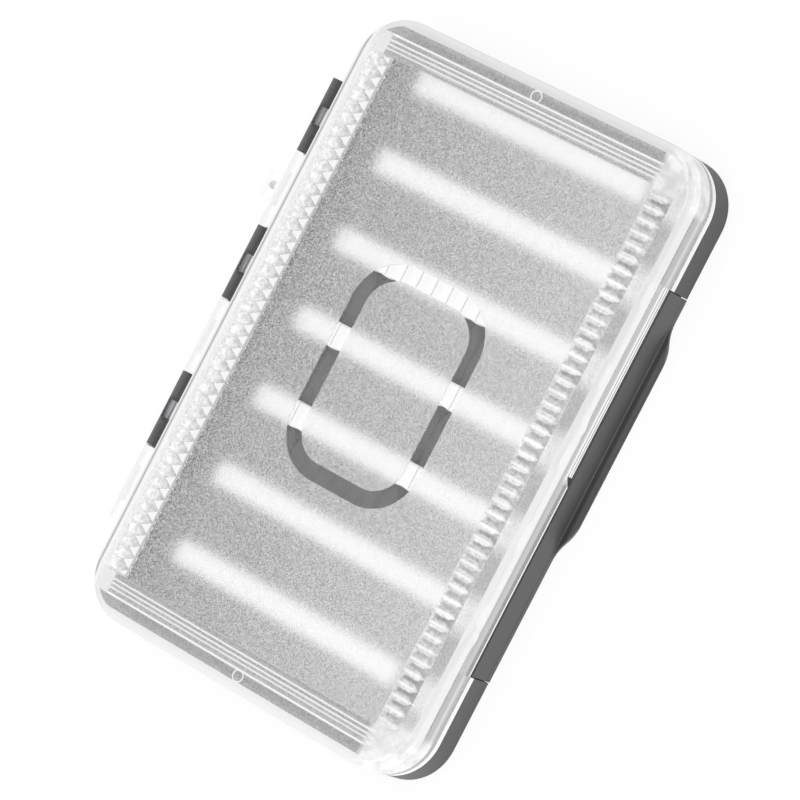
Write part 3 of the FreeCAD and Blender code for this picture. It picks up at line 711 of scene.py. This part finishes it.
def sheet_piece(material):
    """The dark sheet on the floor: soft rows that run across the case and bulge at their +X ends."""
    columns, lines, fill = 300, 240, 0.9
    low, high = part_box("foam_pad")
    x0, y0, z0 = low
    x1, y1, z1 = high
    corner = SHEET_CORNER * MM
    rise = SHEET_RISE * MM
    strips = [(STRIP_FIRST - k * STRIP_PITCH - STRIP_WIDTH / 2) * MM for k in range(STRIP_COUNT)] + [x1]
    bm = bmesh.new()
    rows = []
    for j in range(lines + 1):
        y = y0 + (y1 - y0) * j / lines
        from_edge = min(y - y0, y1 - y)
        inset = rounding(corner, from_edge) if from_edge < corner else 0.0
        row = []
        for i in range(columns + 1):
            x = x0 + inset + (x1 - x0 - 2 * inset) * i / columns
            row.append(bm.verts.new((x, y, z1 - rise + rise * sheet_height(x, y, strips, y0))))
        rows.append(row)
    for a, b in zip(rows, rows[1:]):
        for k in range(columns):
            bm.faces.new((a[k], a[k + 1], b[k + 1], b[k]))
    rim = rows[0] + [row[-1] for row in rows[1:]] + rows[-1][-2::-1] + [row[0] for row in rows[-2:0:-1]]
    skirt = [bm.verts.new((v.co.x, v.co.y, z0)) for v in rim]
    for k in range(len(rim)):
        n = (k + 1) % len(rim)
        bm.faces.new((rim[n], rim[k], skirt[k], skirt[n]))
    bm.faces.new(skirt[::-1])
    return new_piece("dark_sheet", bm, material, "base", "foam_pad")


# Studio

def area_light(name, place, aim, size, power):
    data = bpy.data.lights.new(name, "AREA")
    data.shape = "DISK"
    data.size = size
    data.energy = power
    made = bpy.data.objects.new(name, data)
    bpy.context.scene.collection.objects.link(made)
    made.location = place
    made.rotation_euler = (Vector(aim) - Vector(place)).to_track_quat("-Z", "Y").to_euler()


def seen_directly(tree):
    """1 for camera, mirror and see-through rays, 0 for the rays that carry light."""
    path = tree.nodes.new("ShaderNodeLightPath")
    total = path.outputs["Is Camera Ray"]
    for name in ("Is Glossy Ray", "Is Transmission Ray"):
        made = tree.nodes.new("ShaderNodeMath")
        made.operation = "MAXIMUM"
        tree.links.new(total, made.inputs[0])
        tree.links.new(path.outputs[name], made.inputs[1])
        total = made.outputs[0]
    return total


def mixed(tree, share, first, second, output_kind):
    """Mixes two shaders by share and sends them to the tree's output."""
    mix = tree.nodes.new("ShaderNodeMixShader")
    tree.links.new(share, mix.inputs[0])
    tree.links.new(first.outputs[0], mix.inputs[1])
    tree.links.new(second.outputs[0], mix.inputs[2])
    output = tree.nodes.new(output_kind)
    tree.links.new(mix.outputs[0], output.inputs["Surface"])


def white_world():
    """Soft light from all round; what is seen of it directly is plain white."""
    light_strength, shown_strength = 0.97, 1.0
    world = bpy.data.worlds.new("studio")
    bpy.context.scene.world = world
    world.use_nodes = True
    tree = world.node_tree
    tree.nodes.clear()
    backgrounds = []
    for strength in (light_strength, shown_strength):
        made = tree.nodes.new("ShaderNodeBackground")
        made.inputs["Strength"].default_value = strength
        made.inputs["Color"].default_value = (1, 1, 1, 1)
        backgrounds.append(made)
    mixed(tree, seen_directly(tree), *backgrounds, "ShaderNodeOutputWorld")


def pale_floor():
    """A floor that looks white where nothing stands and still takes the case's shadow."""
    floor_size, floor_tone = 6.0, 0.86
    glow_strength, glow_share = 1.04, 0.85
    bpy.ops.mesh.primitive_plane_add(size=floor_size, location=(0, 0, 0))
    floor = bpy.context.object
    floor.name = "studio_floor"
    material = bpy.data.materials.new("studio_floor")
    material.use_nodes = True
    tree = material.node_tree
    tree.nodes.clear()
    matt = tree.nodes.new("ShaderNodeBsdfDiffuse")
    matt.inputs["Color"].default_value = (floor_tone, floor_tone, floor_tone, 1)
    glow = tree.nodes.new("ShaderNodeEmission")
    glow.inputs["Strength"].default_value = glow_strength
    share = tree.nodes.new("ShaderNodeMath")
    share.operation = "MULTIPLY"
    share.inputs[1].default_value = glow_share
    tree.links.new(seen_directly(tree), share.inputs[0])
    mixed(tree, share.outputs[0], matt, glow, "ShaderNodeOutputMaterial")
    floor.data.materials.append(material)


def camera():
    """The photograph's view: from the latch side, 59.7 degrees up, rolled so that the case lies slantwise."""
    azimuth = math.radians(3.44)
    elevation = math.radians(59.72)
    roll = math.radians(-65.7)
    focal_px = 4368.0
    distance = 1220.0
    shift_right = 1.8
    shift_up = -0.8
    image_px = 800.0
    target = Vector((0, 0, 10.0))
    turn = Matrix.Rotation(azimuth, 3, "Z")
    view = turn @ Vector((0, math.cos(elevation), -math.sin(elevation)))
    up = turn @ Vector((0, math.sin(elevation), math.cos(elevation)))
    right = turn @ Vector((1, 0, 0))
    across = right * math.cos(roll) + up * math.sin(roll)
    upright = up * math.cos(roll) - right * math.sin(roll)
    place = (target - view * distance - right * shift_right - up * shift_up) * MM
    data = bpy.data.cameras.new("camera")
    data.sensor_width = 36.0
    data.lens = focal_px / image_px * data.sensor_width
    data.clip_start = 0.05
    data.clip_end = 20.0
    made = bpy.data.objects.new("camera", data)
    bpy.context.scene.collection.objects.link(made)
    made.matrix_world = Matrix((
        (across.x, upright.x, -view.x, place.x),
        (across.y, upright.y, -view.y, place.y),
        (across.z, upright.z, -view.z, place.z),
        (0, 0, 0, 1)))
    bpy.context.scene.camera = made


def main():
    bpy.context.scene.view_settings.view_transform = "Standard"
    base_grey, latch_grey = (0.085, 0.085, 0.087), (0.078, 0.078, 0.08)
    steel = steel_wire("steel")
    dress("base_shell", moulded_plastic("base_plastic", base_grey, roughness=0.5, shade=base_painted_shade))
    dress("front_latch", moulded_plastic("latch_plastic", latch_grey, roughness=0.46, shade=lip_painted_light))
    dress("lid_shell", clear_lid("clear_lid"))
    dress("hinge_pin", steel)
    dress("latch_pin", steel)
    dress("rim_seal", silicone("seal_rubber"))
    white = foam("white_foam", dark=(0.93, 0.93, 0.925), light=(0.98, 0.98, 0.975), cell_scale=2600.0)
    grey = foam("dark_foam", dark=(0.1, 0.1, 0.103), light=(0.17, 0.17, 0.174), cell_scale=2200.0)
    for index in range(STRIP_COUNT):
        strip_piece(index, white)
    sheet_piece(grey)
    white_world()
    pale_floor()
    area_light("key", place=(-0.62, -0.52, 0.3), aim=(0, 0, 0.01), size=0.6, power=1.6)
    camera()


main()
